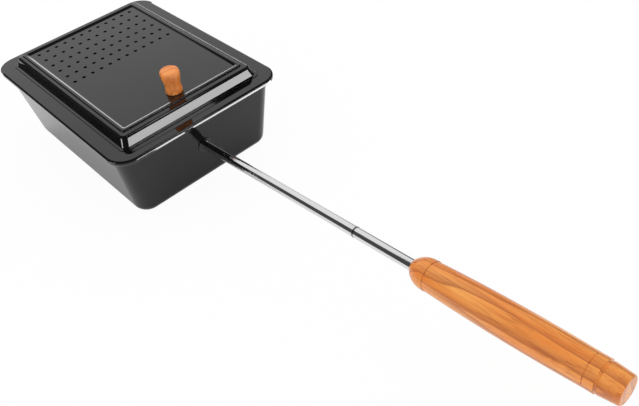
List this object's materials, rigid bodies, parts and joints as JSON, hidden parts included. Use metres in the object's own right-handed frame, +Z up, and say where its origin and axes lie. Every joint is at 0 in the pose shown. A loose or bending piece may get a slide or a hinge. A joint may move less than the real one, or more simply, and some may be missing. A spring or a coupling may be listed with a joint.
{
  "type": "campfire popcorn popper",
  "caption": "Deep black steel pan with a vented sliding lid, a turned wooden knob and a long screw-together steel handle with a turned wooden grip.",
  "frame": {"origin": "centre of the pan's flat underside", "axes": "+Z up, the handle points along -Y and rises gently, +X across the pan"},
  "size_m": [0.23, 0.8224, 0.1434],
  "materials": {
    "pan": "high-gloss black enamel",
    "lid": "high-gloss black enamel",
    "knob": "varnished turned wood, orange tan",
    "knob_insert": "turned brass",
    "knob_washer": "zinc plated",
    "knob_lock_washer": "zinc plated spring steel",
    "knob_screw": "zinc plated",
    "wall_washer": "high-gloss black enamel",
    "bevel_washer": "zinc plated",
    "handle_lock_washer": "zinc plated spring steel",
    "handle_screw": "zinc plated",
    "front_tube": "bright plated, polished",
    "front_tube_plug": "turned",
    "front_tube_insert": "turned",
    "joint_stud": "threaded, zinc plated",
    "joint_ring": "bright plated",
    "rear_tube": "bright plated, polished",
    "rear_tube_insert": "turned",
    "grip": "lacquered turned wood with lengthwise streaks",
    "grip_pin": "steel pin"
  },
  "bodies": {
    "pan": {"pan": "pan", "wall_washer": "wall_washer", "bevel_washer": "bevel_washer", "handle_lock_washer": "handle_lock_washer", "handle_screw": "handle_screw", "front_tube": "front_tube", "front_tube_plug": "front_tube_plug", "front_tube_insert": "front_tube_insert", "joint_stud": "joint_stud"},
    "lid": {"lid": "lid", "knob": "knob", "knob_insert": "knob_insert", "knob_washer": "knob_washer", "knob_lock_washer": "knob_lock_washer", "knob_screw": "knob_screw"},
    "joint_ring": {"joint_ring": "joint_ring"},
    "handle_rear": {"rear_tube": "rear_tube", "rear_tube_insert": "rear_tube_insert", "grip": "grip", "grip_pin": "grip_pin"}
  },
  "joints": [
    {"name": "lid_slide", "type": "slide", "parent": "pan", "child": "lid", "axis": [0, -1, 0], "range_m": [0, 0.18]},
    {"name": "handle_advance", "type": "slide", "parent": "pan", "child": "joint_ring", "axis": [0, -0.9947, 0.1028], "range_m": [0, 0.01]},
    {"name": "handle_unscrew", "type": "hinge", "parent": "joint_ring", "child": "handle_rear", "pos_m": [0, -0.39136, 0.081], "axis": [0, -0.9947, 0.1028], "range_deg": [0, 3600]}
  ],
  "couplings": [
    {"joint": "handle_unscrew", "follows": "handle_advance", "rad_per_m": 6283}
  ]
}
